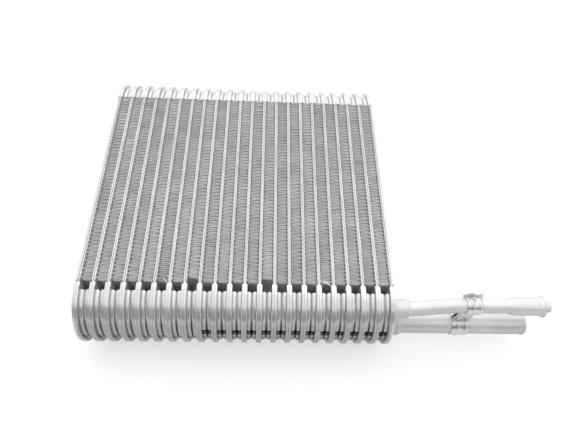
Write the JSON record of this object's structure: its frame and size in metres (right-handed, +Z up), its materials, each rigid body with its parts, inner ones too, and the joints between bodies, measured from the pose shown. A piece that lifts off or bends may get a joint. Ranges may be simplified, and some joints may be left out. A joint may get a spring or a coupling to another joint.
{
  "type": "evaporator core",
  "caption": "Flat brazed aluminium evaporator core: a stack of tube plates with folded fins between them, round-fronted tanks at both ends, and refrigerant pipes tied by a clip.",
  "frame": {"origin": "bottom centre of the whole part's box, on the plane it rests on", "axes": "+X across the stack of tubes and out along the pipes, +Y along the tubes away from the pipes' tank, +Z up through the core's depth, along the air flow"},
  "size_m": [0.3978, 0.276, 0.071],
  "materials": {
    "plate_aluminium": "brazed, satin",
    "fin_aluminium": "thin strip, satin",
    "end_plate_aluminium": "brazed, satin",
    "pipe_aluminium": "drawn, satin",
    "ferrule_aluminium": "brazed, dull",
    "clip_aluminium": "bright sheet",
    "plug_plastic": "matte"
  },
  "bodies": {
    "root": {"tube_01": "plate_aluminium", "tube_02": "plate_aluminium", "tube_03": "plate_aluminium", "tube_04": "plate_aluminium", "tube_05": "plate_aluminium", "tube_06": "plate_aluminium", "tube_07": "plate_aluminium", "tube_08": "plate_aluminium", "tube_09": "plate_aluminium", "tube_10": "plate_aluminium", "tube_11": "plate_aluminium", "tube_12": "plate_aluminium", "tube_13": "plate_aluminium", "tube_14": "plate_aluminium", "tube_15": "plate_aluminium", "tube_16": "plate_aluminium", "tube_17": "plate_aluminium", "tube_18": "plate_aluminium", "tube_19": "plate_aluminium", "tube_20": "plate_aluminium", "tube_21": "plate_aluminium", "tube_22": "plate_aluminium", "fin_01": "fin_aluminium", "fin_02": "fin_aluminium", "fin_03": "fin_aluminium", "fin_04": "fin_aluminium", "fin_05": "fin_aluminium", "fin_06": "fin_aluminium", "fin_07": "fin_aluminium", "fin_08": "fin_aluminium", "fin_09": "fin_aluminium", "fin_10": "fin_aluminium", "fin_11": "fin_aluminium", "fin_12": "fin_aluminium", "fin_13": "fin_aluminium", "fin_14": "fin_aluminium", "fin_15": "fin_aluminium", "fin_16": "fin_aluminium", "fin_17": "fin_aluminium", "fin_18": "fin_aluminium", "fin_19": "fin_aluminium", "fin_20": "fin_aluminium", "fin_21": "fin_aluminium", "end_plate_left": "end_plate_aluminium", "end_plate_right": "end_plate_aluminium", "liquid_pipe": "pipe_aluminium", "suction_pipe": "pipe_aluminium", "liquid_pipe_ferrule": "ferrule_aluminium", "suction_pipe_ferrule": "ferrule_aluminium", "pipe_clip": "clip_aluminium", "liquid_port_plug": "plug_plastic"}
  },
  "joints": []
}
